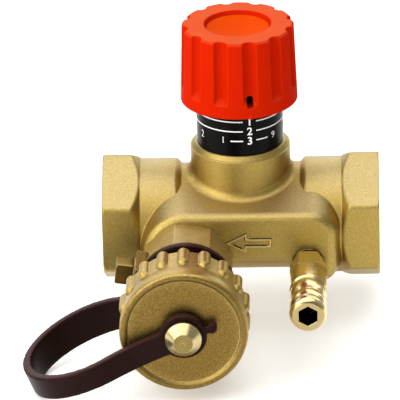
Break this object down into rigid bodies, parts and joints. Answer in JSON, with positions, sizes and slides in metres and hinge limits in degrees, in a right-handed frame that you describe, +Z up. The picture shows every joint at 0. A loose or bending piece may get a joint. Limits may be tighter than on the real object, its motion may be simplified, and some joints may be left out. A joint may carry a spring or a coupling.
{
  "type": "balancing valve",
  "caption": "Brass in-line balancing valve with hexagon threaded ends, a rising fluted knob over a printed scale, a ball drain cock with a strapped screw cap, and a side test nipple.",
  "frame": {"origin": "middle of the inlet mouth, on the pipe axis", "axes": "+X out of the inlet along the pipe, so that the flow runs towards -X; +Z up along the knob axis; -Y to the front, where the drain cock and the test nipple point"},
  "size_m": [0.0956, 0.0848, 0.0834],
  "materials": {
    "forged_brass": "shot-blasted forging, matt",
    "turned_brass": "turned, satin",
    "cap_brass": "die-formed, fine grain",
    "polished_brass": "turned and polished",
    "plated_ball": "plated",
    "spring_steel": "bright zinc",
    "knob_plastic": "moulded, satin gloss",
    "knob_plug_plastic": "moulded, gloss",
    "scale_plastic": "moulded, gloss",
    "seat_plastic": "machined PTFE",
    "strap_rubber": "moulded, satin",
    "seal_rubber": "moulded"
  },
  "bodies": {
    "valve": {"valve_body": "forged_brass", "bonnet_insert": "turned_brass", "bonnet_seal": "seal_rubber", "spindle_oring": "seal_rubber", "scale_sleeve": "scale_plastic", "sleeve_clip": "spring_steel", "drain_body": "turned_brass", "drain_seal": "seal_rubber", "ball_seat_rear": "seat_plastic", "ball_seat_front": "seat_plastic", "ball_retainer": "turned_brass", "stem_packing": "seat_plastic", "stem_gland": "turned_brass", "retaining_strap": "strap_rubber"},
    "cone": {"cone_holder": "turned_brass", "cone_seal": "seal_rubber", "cone_plug": "turned_brass"},
    "handle": {"knob": "knob_plastic", "knob_plug": "knob_plug_plastic", "knob_screw": "spring_steel", "spindle": "turned_brass"},
    "drain_plug": {"drain_stem": "turned_brass", "drain_ball": "plated_ball"},
    "cap_travel": {"cap_gasket": "seal_rubber"},
    "cap": {"drain_cap": "cap_brass", "cap_button": "polished_brass"},
    "nipple_travel": {"nipple_oring": "seal_rubber"},
    "nipple": {"test_nipple": "polished_brass"}
  },
  "joints": [
    {"name": "cone_lift", "type": "slide", "parent": "valve", "child": "cone", "axis": [0, 0, 1], "range_m": [-0.00896, 0]},
    {"name": "knob_turn", "type": "hinge", "parent": "cone", "child": "handle", "pos_m": [-0.0375, 0, 0.046], "axis": [0, 0, 1], "range_deg": [-1152.5, 0]},
    {"name": "drain_turn", "type": "hinge", "parent": "valve", "child": "drain_plug", "pos_m": [-0.0519, -0.02851, -0.0052], "axis": [-0.9903, 0, 0.1392], "range_deg": [0, 90]},
    {"name": "cap_out", "type": "slide", "parent": "valve", "child": "cap_travel", "axis": [0, -1, 0], "range_m": [0, 0.00998], "deforming": ["retaining_strap"]},
    {"name": "cap_turn", "type": "hinge", "parent": "cap_travel", "child": "cap", "pos_m": [-0.0519, -0.0545, -0.0052], "axis": [0, -1, 0], "range_deg": [0, 1980.5]},
    {"name": "nipple_out", "type": "slide", "parent": "valve", "child": "nipple_travel", "axis": [0, -1, 0], "range_m": [0, 0.001]},
    {"name": "nipple_turn", "type": "hinge", "parent": "nipple_travel", "child": "nipple", "pos_m": [-0.0193, -0.037, -0.0052], "axis": [0, -1, 0], "range_deg": [0, 360.5]}
  ],
  "couplings": [
    {"joint": "knob_turn", "follows": "cone_lift", "rad_per_m": 2244},
    {"joint": "cap_turn", "follows": "cap_out", "rad_per_m": 3463.7},
    {"joint": "nipple_turn", "follows": "nipple_out", "rad_per_m": 6283.2}
  ]
}
